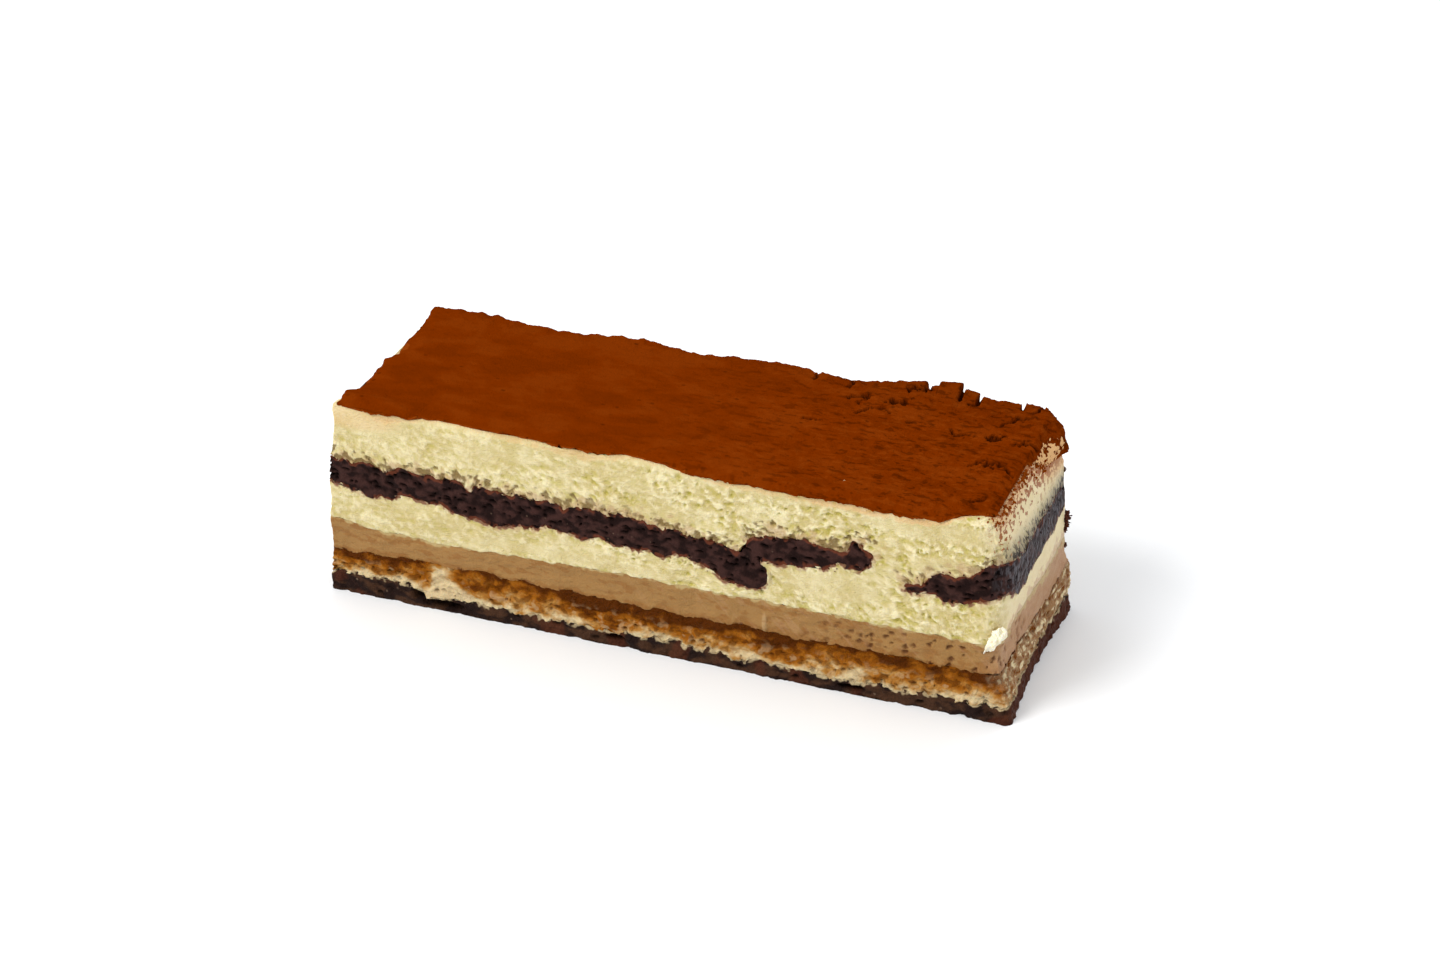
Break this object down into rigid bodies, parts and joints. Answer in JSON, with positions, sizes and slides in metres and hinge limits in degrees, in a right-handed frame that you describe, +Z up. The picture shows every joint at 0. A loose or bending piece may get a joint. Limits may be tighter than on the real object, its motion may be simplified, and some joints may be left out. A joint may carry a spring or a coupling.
{
  "type": "slice of tiramisu cake",
  "caption": "Bar-shaped slice of layered tiramisu cake: dark base, soaked sponge, coffee mousse and cream round broken chocolate sponge, under a ragged cocoa crust.",
  "frame": {"origin": "centre of the underside, on the surface the slice stands on", "axes": "+X along the bar, towards the end where the cocoa hangs over the back corner; +Y through the depth, away from the long cut face that looks along -Y; +Z up"},
  "size_m": [0.1209, 0.0398, 0.0383],
  "materials": {
    "chocolate_base": "moist, crumbly, very dark brown",
    "soaked_sponge": "wet open crumb, amber brown over cream-white",
    "coffee_mousse": "smooth, satin, tan",
    "mascarpone_cream": "porous, matte, pale yellow",
    "chocolate_sponge": "moist crumb, near-black brown",
    "cocoa_dusting": "dry powder, matte, reddish brown"
  },
  "bodies": {
    "root": {"chocolate_base": "chocolate_base", "soaked_sponge": "soaked_sponge", "coffee_mousse": "coffee_mousse", "mascarpone_cream": "mascarpone_cream", "chocolate_sponge_left": "chocolate_sponge", "chocolate_sponge_middle": "chocolate_sponge", "chocolate_sponge_right": "chocolate_sponge", "cocoa_dusting": "cocoa_dusting"}
  },
  "joints": []
}
